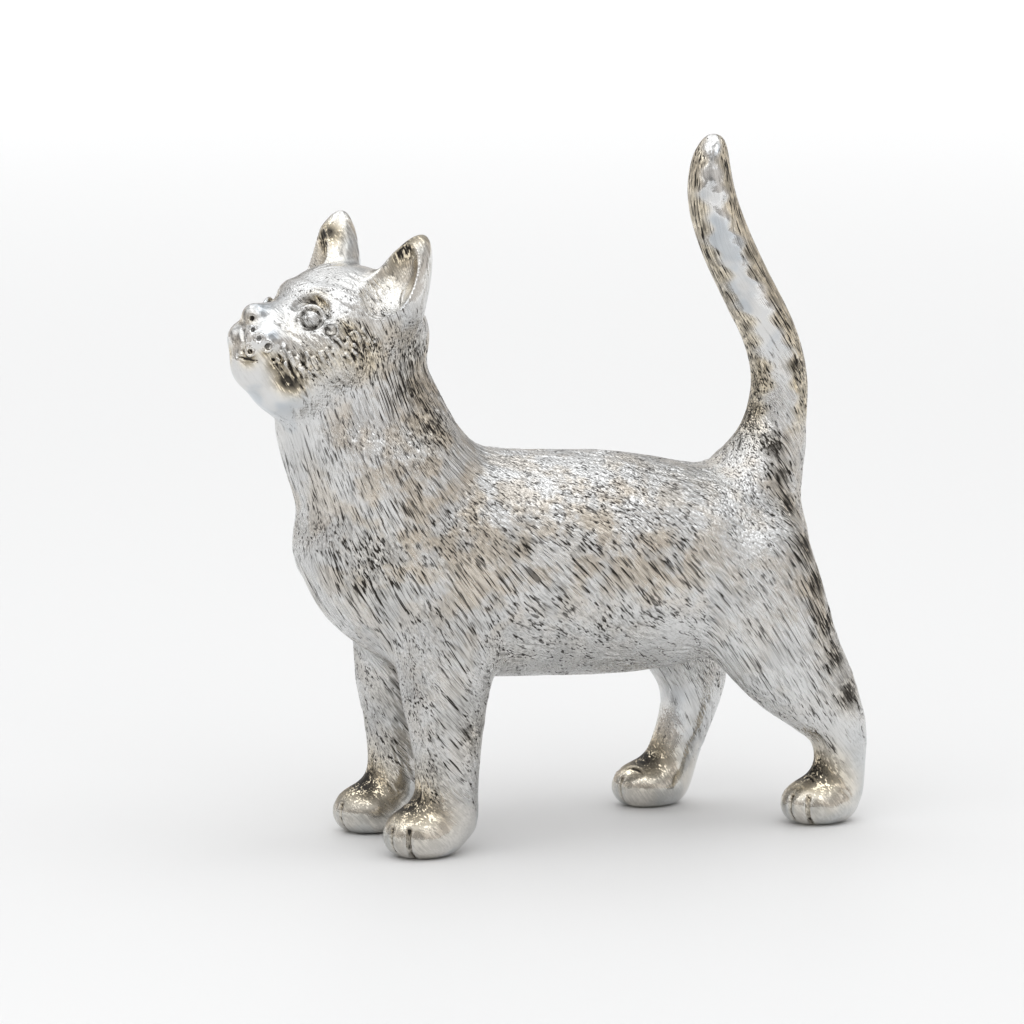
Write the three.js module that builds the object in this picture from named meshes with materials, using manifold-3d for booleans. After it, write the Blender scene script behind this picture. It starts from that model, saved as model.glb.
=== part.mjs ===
// A small standing cat figurine, cast in metal and plated: a hollow body in two half shells, with the head,
// the tail and the four legs cast solid and let into it on round spigots.
// Millimetres, +Z up. The cat faces -X and its left side faces -Y. The paws rest on z = 0, and the origin is
// under the middle of the figure.
import * as THREE from "three";
import { mergeVertices } from "three/addons/utils/BufferGeometryUtils.js";
import Module from "manifold-3d";

const wasm = await Module();
wasm.setup();

// ---- Driving dimensions ----
const WALL = 1.8; // of the hollow body shells
const LEG_JOINT_Z = 13.2; // just under the belly: where each leg casting meets the body
const TAIL_JOINT = { at: [20.9, 0, 34.2], normal: [-0.12, 0, 1] };
const NECK_JOINT = { at: [-16.2, 0, 38.6], normal: [-0.42, 0, 0.91] };
const SPIGOT_LENGTH = 3.6; // how far each spigot stands into the body
const SPIGOT_CLEARANCE = 0.12; // round and beyond each spigot, filled by solder on the real thing
const BOSS_WALL = 1.3; // metal left round each socket inside the shells
const LEG_SPIGOT_R = 1.4;
const TAIL_SPIGOT_R = 1.2;
const NECK_SPIGOT_R = 2.6;
const FAR = 200; // larger than the figure, for cutting tools
const WELD = 0.002;

// Oval sections, each [x, y, z, half width across Y, half depth in the plane of the path].
const BARREL = [
  [21.6, 0, 26.0, 4.6, 5.0],
  [19.4, 0, 25.0, 6.6, 7.4],
  [15.6, 0, 23.9, 7.8, 8.5],
  [10.5, 0, 23.5, 8.3, 9.6],
  [5.0, 0, 23.9, 8.5, 10.1],
  [-0.5, 0, 24.2, 8.5, 10.1],
  [-6.0, 0, 24.6, 8.6, 10.2],
  [-11.0, 0, 25.7, 8.4, 10.2],
  [-15.2, 0, 27.6, 7.4, 9.2],
  [-18.0, 0, 29.4, 5.8, 7.2],
];
const NECK = [
  [-11.4, 0, 27.0, 7.6, 9.0],
  [-15.2, 0, 33.0, 7.2, 8.0],
  [-17.4, 0, 38.2, 6.3, 7.5],
  [-18.4, 0, 42.4, 6.0, 7.0],
  [-18.8, 0, 46.0, 5.6, 6.4],
];
const TAIL = [
  [19.8, 0, 30.0, 4.2, 4.9],
  [21.2, 0, 33.0, 3.2, 3.6],
  [22.0, 0, 36.2, 2.6, 2.8],
  [22.2, 0, 40.0, 2.45, 2.6],
  [21.1, 0, 43.8, 2.4, 2.5],
  [19.1, 0, 47.6, 2.35, 2.45],
  [17.0, 0, 51.8, 2.25, 2.45],
  [15.6, 0, 55.9, 2.1, 2.3],
  [15.5, 0, 59.2, 1.7, 1.85],
  [15.9, 0, 61.0, 1.1, 1.2],
];
const FORELEG = [
  [1.0, 1.3, 25.0, 4.0, 5.8],
  [0.4, 0.6, 19.0, 3.9, 5.0],
  [0.0, 0.2, 14.0, 3.3, 4.0],
  [0.1, 0.0, 10.0, 2.8, 3.2],
  [0.1, 0.0, 6.0, 2.6, 2.85],
  [0.0, 0.0, 2.6, 2.6, 2.9],
];
const HINDLEG_BACK = [
  [-8.8, 1.5, 24.0, 4.2, 6.6],
  [-6.8, 0.6, 19.0, 4.0, 6.2],
  [-4.6, 0.2, 15.0, 3.4, 5.2],
  [-2.0, 0.0, 11.6, 2.8, 4.0],
  [0.0, 0.0, 8.6, 2.4, 2.8],
  [0.3, 0.0, 5.6, 2.2, 2.4],
  [0.0, 0.0, 2.6, 2.3, 2.5],
];
const HINDLEG_FORWARD = [
  [-0.6, 1.7, 24.0, 4.2, 6.4],
  [0.2, 0.7, 19.0, 4.0, 5.6],
  [1.0, 0.2, 15.0, 3.4, 4.4],
  [1.8, 0.0, 11.6, 2.8, 3.4],
  [1.6, 0.0, 9.0, 2.4, 2.7],
  [0.4, 0.0, 5.6, 2.2, 2.4],
  [-0.6, 0.0, 2.6, 2.3, 2.5],
];
// side: -1 is the cat's left. at is the foot of the leg's axis on the ground.
const LEGS = {
  foreleg_left: { sections: FORELEG, at: [-11.2, -5.4], side: -1, paw: [3.9, 3.1, 2.7], reach: 2.0 },
  foreleg_right: { sections: FORELEG, at: [-12.1, 5.0], side: 1, paw: [3.8, 3.0, 2.6], reach: 2.4 },
  hindleg_left: { sections: HINDLEG_BACK, at: [25.8, -5.6], side: -1, paw: [3.8, 2.9, 2.5], reach: 1.7 },
  hindleg_right: { sections: HINDLEG_FORWARD, at: [14.6, 6.0], side: 1, paw: [3.8, 2.9, 2.5], reach: 2.2 },
};

// The head's own frame: +X forward to the nose, +Y to the cat's left, +Z up through the crown.
const HEAD = { at: [-18.0, 0, 47.2], yaw: 20, pitch: 20 };
const SKULL = { at: [0.2, 0, -1.0], size: [7.8, 6.2, 5.1] };
const MUZZLE = { at: [8.0, 0, -4.9], size: [2.8, 3.1, 2.6] };
const BRIDGE = { at: [6.6, 0, -3.0], size: [4.2, 2.2, 1.9] };
const CHIN = { at: [7.8, 0, -7.0], size: [2.8, 2.5, 2.2] };
const JAW = { at: [4.2, 0, -6.6], size: [5.6, 4.4, 4.2] };
const CHEEK = { at: [3.4, 3.4, -3.4], size: [4.2, 2.9, 3.7] };
const EAR = { at: [-0.7, 4.4, 1.0], height: 7.2, width: 2.7, thick: 2.5, splay: 6, lean: 4, turn: 20, hollow: 0.7 };

// ---- Building blocks ----
function solidOf(geometry) {
  const bare = geometry.clone();
  bare.deleteAttribute("normal");
  bare.deleteAttribute("uv");
  const merged = mergeVertices(bare, 1e-4);
  return new wasm.Manifold(
    new wasm.Mesh({
      numProp: 3,
      vertProperties: merged.getAttribute("position").array,
      triVerts: new Uint32Array(merged.index.array),
    }),
  );
}

// The solid's surface, with points closer than WELD made one and the flat slivers between them left out.
function geometryOf(solid) {
  const { vertProperties, triVerts } = solid.getMesh();
  const raw = new THREE.BufferGeometry();
  raw.setAttribute("position", new THREE.BufferAttribute(vertProperties, 3));
  raw.setIndex(new THREE.BufferAttribute(triVerts, 1));
  const geometry = mergeVertices(raw, WELD);
  const index = geometry.index.array;
  const faces = new Map();
  for (let i = 0; i < index.length; i += 3) {
    const face = [index[i], index[i + 1], index[i + 2]];
    if (new Set(face).size < 3) continue;
    const key = [...face].sort((a, b) => a - b).join();
    if (!faces.delete(key)) faces.set(key, face);
  }
  geometry.setIndex([...faces.values()].flat());
  geometry.computeVertexNormals();
  return geometry;
}

// A closed skin through oval sections, domed at both ends. inset makes it smaller all round.
function loft(sections, sides, steps, inset = 0) {
  const points = sections.map(([x, y, z]) => new THREE.Vector3(x, y, z));
  const sizes = sections.map(([, , , wide, deep]) => new THREE.Vector3(wide - inset, deep - inset, 0));
  const path = new THREE.CatmullRomCurve3(points, false, "centripetal");
  const size = new THREE.CatmullRomCurve3(sizes);
  const domeSteps = 3;
  const domeDepth = 0.6;
  const rings = [];
  for (let i = -domeSteps; i <= steps + domeSteps; i++) {
    const t = THREE.MathUtils.clamp(i / steps, 0, 1);
    const past = i < 0 ? i / domeSteps : Math.max(0, i - steps) / domeSteps;
    const angle = past * (Math.PI / 2);
    const along = path.getTangent(t);
    const half = size.getPoint(t);
    const middle = path.getPoint(t).addScaledVector(along, Math.sin(angle) * half.y * domeDepth);
    const across = new THREE.Vector3(0, 1, 0);
    across.addScaledVector(along, -across.dot(along)).normalize();
    const deep = new THREE.Vector3().crossVectors(along, across);
    rings.push({ middle, across, deep, half: half.multiplyScalar(Math.cos(angle)) });
  }
  const first = rings.shift();
  const last = rings.pop();
  const positions = [];
  for (const ring of rings) {
    for (let j = 0; j < sides; j++) {
      const turn = ((j + 0.5) / sides) * 2 * Math.PI;
      const point = ring.middle
        .clone()
        .addScaledVector(ring.across, Math.cos(turn) * ring.half.x)
        .addScaledVector(ring.deep, Math.sin(turn) * ring.half.y);
      positions.push(point.x, point.y, point.z);
    }
  }
  positions.push(...first.middle.toArray(), ...last.middle.toArray());
  const bottom = rings.length * sides;
  const indices = [];
  for (let j = 0; j < sides; j++) {
    const next = (j + 1) % sides;
    for (let i = 0; i < rings.length - 1; i++) {
      const a = i * sides;
      const b = a + sides;
      indices.push(a + j, a + next, b + j, a + next, b + next, b + j);
    }
    const end = (rings.length - 1) * sides;
    indices.push(bottom, next, j, bottom + 1, end + j, end + next);
  }
  const geometry = new THREE.BufferGeometry();
  geometry.setAttribute("position", new THREE.BufferAttribute(new Float32Array(positions), 3));
  geometry.setIndex(indices);
  return solidOf(geometry);
}

function ellipsoid(at, size, matrix = new THREE.Matrix4(), around = 18, down = 12) {
  const geometry = new THREE.SphereGeometry(1, around, down);
  geometry.scale(...size).translate(...at).applyMatrix4(matrix);
  return solidOf(geometry);
}

// A cylinder from one point along a direction.
function rod(at, direction, length, radius, sides = 16) {
  const geometry = new THREE.CylinderGeometry(radius, radius, length, sides);
  geometry.translate(0, length / 2, 0);
  const turn = new THREE.Quaternion().setFromUnitVectors(
    new THREE.Vector3(0, 1, 0),
    new THREE.Vector3(...direction).normalize(),
  );
  geometry.applyQuaternion(turn).translate(...at);
  return solidOf(geometry);
}

// Everything on the side of a plane that its normal points to.
function beyond({ at, normal }) {
  const geometry = new THREE.BoxGeometry(FAR, FAR, FAR).translate(0, 0, FAR / 2);
  const turn = new THREE.Quaternion().setFromUnitVectors(
    new THREE.Vector3(0, 0, 1),
    new THREE.Vector3(...normal).normalize(),
  );
  geometry.applyQuaternion(turn).translate(...at);
  return solidOf(geometry);
}

function union(solids) {
  return solids.reduce((all, next) => all.add(next));
}

// The largest body of a solid, without the slivers that a cut can leave beside it.
function mainBody(solid) {
  return solid.decompose().sort((a, b) => b.volume() - a.volume())[0];
}

// ---- The cat's form, before it is divided into castings ----
const ground = beyond({ at: [0, 0, 0], normal: [0, 0, -1] });

function wholeLeg({ sections, at, side, paw, reach }) {
  const placed = sections.map(([x, y, z, wide, deep]) => [x + at[0], at[1] - side * y, z, wide, deep]);
  const sole = ellipsoid([at[0] - reach, at[1], paw[2] * 0.72], paw);
  return loft(placed, 16, 12).add(sole).subtract(ground);
}

function headMatrix() {
  const yaw = new THREE.Matrix4().makeRotationZ(Math.PI + THREE.MathUtils.degToRad(HEAD.yaw));
  const pitch = new THREE.Matrix4().makeRotationY(-THREE.MathUtils.degToRad(HEAD.pitch));
  return new THREE.Matrix4().makeTranslation(...HEAD.at).multiply(yaw).multiply(pitch);
}

function ear(matrix, side) {
  const { at, height, width, thick, splay, lean, turn, hollow } = EAR;
  const place = new THREE.Matrix4()
    .makeTranslation(at[0], at[1] * side, at[2])
    .multiply(new THREE.Matrix4().makeRotationX(-THREE.MathUtils.degToRad(splay) * side))
    .multiply(new THREE.Matrix4().makeRotationY(-THREE.MathUtils.degToRad(lean)))
    .multiply(new THREE.Matrix4().makeRotationZ(THREE.MathUtils.degToRad(turn) * side));
  const outline = [];
  const steps = 7;
  for (let i = 0; i <= steps; i++) {
    const up = Math.sin((i / steps) * (Math.PI / 2));
    outline.push(new THREE.Vector2(Math.pow(1 - Math.pow(up, 1.8), 0.55), up));
  }
  outline.unshift(new THREE.Vector2(0, 0));
  const shape = new THREE.LatheGeometry(outline, 16).rotateX(Math.PI / 2);
  const outer = shape.clone().scale(thick, width, height).applyMatrix4(matrix.clone().multiply(place));
  const inner = shape
    .clone()
    .scale(thick, width * hollow, height * 0.8)
    .translate(thick * 0.75, 0, height * 0.1)
    .applyMatrix4(matrix.clone().multiply(place));
  return { outer: solidOf(outer), inner: solidOf(inner) };
}

function wholeHead() {
  const matrix = headMatrix();
  const masses = [SKULL, MUZZLE, BRIDGE, CHIN, JAW].map(({ at, size }) => ellipsoid(at, size, matrix));
  for (const side of [-1, 1]) {
    masses.push(ellipsoid([CHEEK.at[0], CHEEK.at[1] * side, CHEEK.at[2]], CHEEK.size, matrix));
  }
  const ears = [-1, 1].map((side) => ear(matrix, side));
  return union([...masses, ...ears.map((e) => e.outer)]).subtract(union(ears.map((e) => e.inner)));
}

// ---- Division into castings ----
const legSolids = Object.fromEntries(Object.entries(LEGS).map(([name, leg]) => [name, wholeLeg(leg)]));
const barrel = loft(BARREL, 24, 16);
const neck = loft(NECK, 20, 8);
const tail = loft(TAIL, 14, 20);
const aboveLegs = beyond({ at: [0, 0, LEG_JOINT_Z], normal: [0, 0, 1] });
const aboveNeck = beyond(NECK_JOINT);
const aboveTail = beyond(TAIL_JOINT).intersect(beyond({ at: [10, 0, 0], normal: [1, 0, 0] }));

const form = union([barrel, neck, tail, ...Object.values(legSolids)]);
const outside = form.subtract(aboveNeck).subtract(aboveTail).intersect(aboveLegs);

// Each spigot stands on its own casting and points into the body.
const spigots = { head: { ...NECK_JOINT, radius: NECK_SPIGOT_R }, tail: { ...TAIL_JOINT, radius: TAIL_SPIGOT_R } };
spigots.head.into = NECK_JOINT.normal.map((n) => -n);
spigots.tail.into = TAIL_JOINT.normal.map((n) => -n);
for (const [name, { sections, at, side }] of Object.entries(LEGS)) {
  const [x, y] = sections[2];
  spigots[name] = { at: [at[0] + x, at[1] - side * y, LEG_JOINT_Z], into: [0, 0, 1], radius: LEG_SPIGOT_R };
}

// A rod that starts 1 mm outside the joint and reaches a depth into the body.
function rodInto({ at, into }, depth, radius) {
  const root = new THREE.Vector3(...into).normalize().negate().add(new THREE.Vector3(...at));
  return rod(root.toArray(), into, depth + 1, radius);
}

const spigot = (place) => rodInto(place, SPIGOT_LENGTH, place.radius);
const socket = (place) => rodInto(place, SPIGOT_LENGTH + SPIGOT_CLEARANCE, place.radius + SPIGOT_CLEARANCE);
const boss = (place) => rodInto(place, SPIGOT_LENGTH + BOSS_WALL, place.radius + BOSS_WALL);

function bodyShells() {
  const hollow = union([loft(BARREL, 14, 8, WALL), loft(NECK, 14, 5, WALL)])
    .subtract(beyond({ at: offsetInto(NECK_JOINT, WALL), normal: NECK_JOINT.normal }))
    .subtract(union(Object.values(spigots).map(boss)));
  const cast = outside.subtract(mainBody(hollow));
  const bored = cast.subtract(union(Object.values(spigots).map(socket)));
  const rightSide = beyond({ at: [0, 0, 0], normal: [0, 1, 0] });
  return { body_shell_left: bored.subtract(rightSide), body_shell_right: bored.intersect(rightSide) };
}

function offsetInto({ at, normal }, depth) {
  return new THREE.Vector3(...at).addScaledVector(new THREE.Vector3(...normal).normalize(), -depth).toArray();
}

const castings = {
  ...bodyShells(),
  head: union([neck, wholeHead()]).intersect(aboveNeck).add(spigot(spigots.head)),
  tail: tail.intersect(aboveTail).add(spigot(spigots.tail)),
};
for (const [name, solid] of Object.entries(legSolids)) {
  castings[name] = solid.subtract(aboveLegs).add(spigot(spigots[name]));
}

// ---- The scene graph ----
const plating = () => new THREE.MeshStandardMaterial({ color: 0xc9c6c0, roughness: 0.22, metalness: 1 });
const figurine = new THREE.Group();
for (const [name, solid] of Object.entries(castings)) {
  const mesh = new THREE.Mesh(geometryOf(mainBody(solid)), plating());
  mesh.name = name;
  figurine.add(mesh);
}
// The form was laid out from the plane between its two sides; this brings its middle over the origin.
const middle = new THREE.Box3().setFromObject(figurine).getCenter(new THREE.Vector3());
for (const mesh of figurine.children) mesh.geometry.translate(-middle.x, -middle.y, 0);

export default figurine;
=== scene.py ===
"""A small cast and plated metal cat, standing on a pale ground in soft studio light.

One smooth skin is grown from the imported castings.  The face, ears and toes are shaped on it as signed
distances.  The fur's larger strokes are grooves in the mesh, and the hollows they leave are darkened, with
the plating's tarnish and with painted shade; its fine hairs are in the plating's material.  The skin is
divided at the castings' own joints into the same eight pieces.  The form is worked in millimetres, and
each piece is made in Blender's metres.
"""
import math

import bmesh
import bpy
import numpy as np
import openvdb
from mathutils import Matrix, Vector
from mathutils.kdtree import KDTree


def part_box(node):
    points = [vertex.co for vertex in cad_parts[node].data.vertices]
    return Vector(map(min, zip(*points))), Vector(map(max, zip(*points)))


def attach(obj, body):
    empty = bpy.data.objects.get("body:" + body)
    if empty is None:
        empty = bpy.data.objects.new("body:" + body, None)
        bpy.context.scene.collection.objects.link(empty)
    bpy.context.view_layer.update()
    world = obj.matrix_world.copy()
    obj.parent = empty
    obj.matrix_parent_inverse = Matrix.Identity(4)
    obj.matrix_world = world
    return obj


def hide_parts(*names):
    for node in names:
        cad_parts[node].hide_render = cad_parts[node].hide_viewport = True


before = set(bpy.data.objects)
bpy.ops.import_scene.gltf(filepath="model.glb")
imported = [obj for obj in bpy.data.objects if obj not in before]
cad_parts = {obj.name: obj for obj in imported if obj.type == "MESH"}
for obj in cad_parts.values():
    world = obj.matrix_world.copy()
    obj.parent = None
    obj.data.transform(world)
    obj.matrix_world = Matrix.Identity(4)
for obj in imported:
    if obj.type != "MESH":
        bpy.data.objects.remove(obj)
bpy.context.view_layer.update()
MM = 0.001


def box_mm(node):
    low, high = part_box(node)
    return np.array(low) / MM, np.array(high) / MM


# ---- Camera -------------------------------------------------------------------------------------------
VIEW_AZIMUTH = -20.0
VIEW_ELEVATION = 10.0
VIEW_DISTANCE = 450.0
FIELD_WIDTH = 90.1  # across the picture, at the figure
AIM = (-2.2, 0.6, 28.7)


def view_axes(azimuth, elevation):
    turn = math.radians(azimuth)
    rise = math.radians(elevation)
    back = Vector((math.sin(turn) * math.cos(rise), -math.cos(turn) * math.cos(rise), math.sin(rise)))
    right = Vector((math.cos(turn), math.sin(turn), 0))
    return right, back.cross(right), back


def make_camera():
    right, up, back = view_axes(VIEW_AZIMUTH, VIEW_ELEVATION)
    data = bpy.data.cameras.new("camera")
    data.sensor_width = 36
    data.lens = data.sensor_width * VIEW_DISTANCE / FIELD_WIDTH
    data.clip_start = 0.01
    data.clip_end = 100
    camera = bpy.data.objects.new("camera", data)
    turn = Matrix((right, up, back)).transposed().to_4x4()
    camera.matrix_world = Matrix.Translation((Vector(AIM) + back * VIEW_DISTANCE) * MM) @ turn
    bpy.context.scene.collection.objects.link(camera)
    bpy.context.scene.camera = camera


# ---- The castings' joints, from the frame --------------------------------------------------------------
SHELL_LOW, SHELL_HIGH = box_mm("body_shell_left")
TAIL_LOW = box_mm("tail")[0]
HEAD_LOW, HEAD_HIGH = box_mm("head")
LEGS = ("foreleg_left", "foreleg_right", "hindleg_left", "hindleg_right")
LEG_JOINT_Z = SHELL_LOW[2]
SPLIT_Y = SHELL_HIGH[1]
# Two joints' planes: a point on each, and the way it faces, out of the body.
TAIL_JOINT = (np.array([21.5, SPLIT_Y, 34.2]), np.array([-0.12, 0, 1.0]))
NECK_JOINT = (np.array([-15.6, SPLIT_Y, 38.6]), np.array([-0.42, 0, 0.91]))
REAR_X = 8.0  # behind this, what stands over the body is the tail and not the neck
TAIL_FROM = TAIL_LOW[0] - 0.5  # the tail's cut reaches no further forward than this

# The head's own frame: X forward to the nose, Y to the cat's left, Z up through the crown.
HEAD_AT = np.array([HEAD_LOW[0] + 11.8, SPLIT_Y, HEAD_HIGH[2] - 7.3])
HEAD_YAW = 20.0
HEAD_PITCH = 20.0


def head_turn():
    yaw = Matrix.Rotation(math.radians(180 + HEAD_YAW), 3, "Z")
    return np.array(yaw @ Matrix.Rotation(-math.radians(HEAD_PITCH), 3, "Y"))


HEAD_TURN = head_turn()

# ---- Signed distances on grids -------------------------------------------------------------------------
FINE = 0.12
COARSE = 2 * FINE
FILLET = 1.6  # of the inside corners between the castings
REACH = 1.4  # distances are kept this far from the skin
MARGIN = 3.0  # of empty field round the figure
SEARCH = 6.0  # how far out, and in, the skin is looked for along a line
SOFT_BODY = 0.95  # how widely the barrel's field is blurred
SOFT_LIMBS = 0.5  # the same for the legs, neck, head and tail
BARREL_FROM = (LEG_JOINT_Z - 1, LEG_JOINT_Z + 5)  # up Z, over which the legs give way to the barrel
BARREL_TO = (36, 41)  # up Z, over which the barrel gives way to the neck
RUMP_TOP = (30, 34)  # up Z and back along X, over which it gives way to the tail
RUMP_END = (12, 17)


def smin(a, b, k):
    h = np.clip(0.5 + 0.5 * (b - a) / k, 0, 1)
    return b + (a - b) * h - k * h * (1 - h)


def smax(a, b, k):
    return -smin(-a, -b, k)


def smoothstep(low, high, x):
    t = np.clip((x - low) / (high - low), 0, 1)
    return t * t * (3 - 2 * t)


def triangles_of(obj):
    mesh = obj.data
    mesh.calc_loop_triangles()
    points = np.empty(len(mesh.vertices) * 3, np.float32)
    mesh.vertices.foreach_get("co", points)
    faces = np.empty(len(mesh.loop_triangles) * 3, np.int32)
    mesh.loop_triangles.foreach_get("vertices", faces)
    return points.reshape(-1, 3) / MM, faces.reshape(-1, 3).astype(np.uint32)


def level_set(points, triangles=None, quads=None, band=REACH):
    return openvdb.FloatGrid.createLevelSetFromPolygons(
        np.ascontiguousarray(points, np.float32),
        triangles=triangles,
        quads=quads,
        transform=openvdb.createLinearTransform(voxelSize=COARSE),
        halfWidth=band / COARSE,
    )


def dense(grid, low, shape):
    values = np.zeros(shape, np.float32)
    grid.copyToArray(values, ijk=tuple(int(i) for i in low))
    return values


def quads_of(values, low, step, level=0.0):
    grid = openvdb.FloatGrid(float(values.max()))
    grid.transform = openvdb.createLinearTransform(voxelSize=step)
    grid.copyFromArray(np.ascontiguousarray(values), ijk=tuple(int(i) for i in low))
    return grid.convertToQuads(isovalue=level)


def enclosed(solid):
    """The empty voxels that have something solid on all six sides of them."""
    shut = ~solid
    for axis in range(3):
        shut &= np.logical_or.accumulate(solid, axis=axis)
        shut &= np.flip(np.logical_or.accumulate(np.flip(solid, axis), axis=axis), axis)
    return shut


def blurred(values, sigma):
    reach = int(math.ceil(3 * sigma / COARSE))
    taps = np.exp(-0.5 * (np.arange(-reach, reach + 1) * COARSE / sigma) ** 2)
    taps = (taps / taps.sum()).astype(np.float32)
    for axis in range(3):
        pad = [(reach, reach) if a == axis else (0, 0) for a in range(3)]
        wide = np.pad(values, pad, mode="edge")
        length = values.shape[axis]
        values = sum(w * np.take(wide, np.arange(i, i + length), axis=axis) for i, w in enumerate(taps))
    return values


def finer(values):
    """The same field at half the step, by cubic spline subdivision."""
    for axis in range(3):
        v = np.moveaxis(values, axis, 0)
        out = np.empty((2 * v.shape[0] - 1,) + v.shape[1:], np.float32)
        out[1::2] = 0.5 * (v[:-1] + v[1:])
        out[0] = v[0]
        out[-1] = v[-1]
        out[2:-2:2] = 0.75 * v[1:-1] + 0.125 * (v[:-2] + v[2:])
        values = np.moveaxis(out, 0, axis)
    return np.ascontiguousarray(values)


def grow_skin():
    """One smooth field for the whole figure: the castings joined, their hollow filled, and the inside
    corners between them filleted."""
    corners = [box_mm(name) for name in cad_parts]
    low = np.floor((np.min([c[0] for c in corners], axis=0) - MARGIN) / COARSE).astype(int)
    high = np.ceil((np.max([c[1] for c in corners], axis=0) + MARGIN) / COARSE).astype(int)
    shape = tuple(high - low + 1)
    band = FILLET + 1.0
    joined = np.full(shape, band, np.float32)
    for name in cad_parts:
        points, triangles = triangles_of(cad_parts[name])
        joined = np.minimum(joined, dense(level_set(points, triangles, band=band), low, shape))
    joined[enclosed(joined < 0)] = -band
    points, quads = quads_of(joined, low, COARSE, level=FILLET)
    closed = dense(level_set(points, quads=quads, band=FILLET + REACH), low, shape) + FILLET
    closed = np.clip(closed, -REACH, REACH)
    x = (low[0] + np.arange(shape[0]))[:, None, None] * COARSE
    z = (low[2] + np.arange(shape[2]))[None, None, :] * COARSE
    barrel = smoothstep(*BARREL_FROM, z) * (1 - smoothstep(*BARREL_TO, z))
    barrel = barrel * (1 - smoothstep(*RUMP_TOP, z) * smoothstep(*RUMP_END, x))
    soft = blurred(closed, SOFT_LIMBS)
    return soft + barrel * (blurred(closed, SOFT_BODY) - soft), low


class Region:
    """A block of the fine field, shaped where it stands, with the places of its voxels."""

    def __init__(self, low, high):
        first = np.floor(np.array(low) / FINE).astype(int)
        last = np.ceil(np.array(high) / FINE).astype(int)
        self.values = FIELD[tuple(slice(a - o, b - o + 1) for a, b, o in zip(first, last, FIELD_LOW))]
        axes = [(first[a] + np.arange(self.values.shape[a])) * FINE for a in range(3)]
        self.x = axes[0][:, None, None].astype(np.float32)
        self.y = axes[1][None, :, None].astype(np.float32)
        self.z = axes[2][None, None, :].astype(np.float32)

    def local(self, at, turn=np.eye(3)):
        """The voxels' places in a frame at a point, whose axes are the columns of turn."""
        d = (self.x - at[0], self.y - at[1], self.z - at[2])
        return [d[0] * turn[0, i] + d[1] * turn[1, i] + d[2] * turn[2, i] for i in range(3)]

    def cut(self, tool, soft):
        """Takes a tool's field away, with its edge softened."""
        self.values[:] = smax(self.values, -tool, soft)

    def add(self, form, soft):
        self.values[:] = smin(self.values, form, soft)


def first_skin(start, direction):
    """The point of the skin first met on the way in to a point from outside."""
    direction = direction / np.linalg.norm(direction)
    for t in np.arange(SEARCH, -SEARCH, -FINE / 4):
        point = start + direction * t
        if FIELD[tuple(np.round(point / FINE).astype(int) - FIELD_LOW)] < 0:
            return point
    return start


def ball(place, at, radius):
    return np.sqrt((place[0] - at[0]) ** 2 + (place[1] - at[1]) ** 2 + (place[2] - at[2]) ** 2) - radius


def egg(place, at, size):
    """An ellipsoid along the frame's axes."""
    d = [(place[i] - at[i]) for i in range(3)]
    near = np.sqrt(sum((d[i] / size[i]) ** 2 for i in range(3))) + 1e-6
    slope = np.sqrt(sum((d[i] / size[i] ** 2) ** 2 for i in range(3))) + 1e-6
    return near * (near - 1) / slope


def rod(place, a, b, radius, thinner=0.0):
    """A round-ended rod between two points, which may lose some of its radius on the way."""
    a = np.array(a, float)
    b = np.array(b, float)
    span = b - a
    d = [place[i] - a[i] for i in range(3)]
    t = np.clip(sum(d[i] * span[i] for i in range(3)) / span.dot(span), 0, 1)
    return np.sqrt(sum((d[i] - t * span[i]) ** 2 for i in range(3))) - radius + thinner * t


def chain(place, points, radius):
    """Round-ended rods through a row of points."""
    field = rod(place, points[0], points[1], radius)
    for a, b in zip(points[1:], points[2:]):
        field = np.minimum(field, rod(place, a, b, radius))
    return field


def ring(place, at, axis, radius, thick):
    """A round ring about an axis."""
    d = [place[i] - at[i] for i in range(3)]
    high = sum(d[i] * axis[i] for i in range(3))
    out = np.sqrt(np.maximum(sum(v ** 2 for v in d) - high ** 2, 0))
    return np.sqrt((out - radius) ** 2 + high ** 2) - thick


# ---- Face ----------------------------------------------------------------------------------------------
# Places are in the head's own frame; the masses are ellipsoids, each by its middle and its half axes.
SKULL = ((-0.9, 0, -1.0), (7.0, 5.4, 5.2))
JAW = ((3.2, 0, -5.7), (5.2, 4.1, 4.1))
CHEEK = ((2.8, 2.8, -3.9), (4.0, 2.8, 3.0))
MUZZLE = ((7.5, 0, -4.7), (2.8, 2.7, 2.4))
PAD = ((9.2, 1.0, -4.9), (1.75, 1.5, 1.5))
BRIDGE = ((7.2, 0, -2.9), (3.3, 1.5, 1.45))
BROW = ((4.0, 1.9, 0.0), (1.3, 1.2, 0.9))
LIPS = ((8.7, 0, -6.1), (1.75, 1.75, 1.3))
NOSE = ((10.0, 0, -2.9), (0.8, 1.0, 0.9))
CHIN = ((8.2, 0, -6.7), (2.25, 1.9, 2.15))
NECK_FROM = (-9.0, -4.0)  # along X, over which the neck gives way to the modelled head
THROAT_FROM = (-12.0, -8.0)  # the same, up Z
EYE = (5.55, 2.15, -1.95)
EYE_LOOK = (0.62, 0.78, 0.05)
EYEBALL = 0.85
SOCKET = 1.1
LIDS = (1.08, 0.2)  # their ring's radius, and its thickness
# Inwards and up, from the eye.
LID_FOLD = ((1.5, 0.9), (0.95, 1.4), (0.0, 1.7), (-0.8, 1.35), (-1.15, 0.7))
LID_FOLD_RADIUS = 0.4
TEAR = (-1.85, -0.65)
TEAR_RADIUS = 0.62
EAR = {"at": (-0.7, 4.5, 1.0), "splay": 6, "turn": 20}
# The two ears differ a little: 1 is the cat's left and -1 its right.
EAR_LEAN = {1: -7, -1: 1}
EAR_SIZES = {1: (3.2, 2.9, 7.0), -1: (3.4, 2.9, 7.9)}
EAR_FORWARD = {1: 0.0, -1: 0.1}
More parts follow.
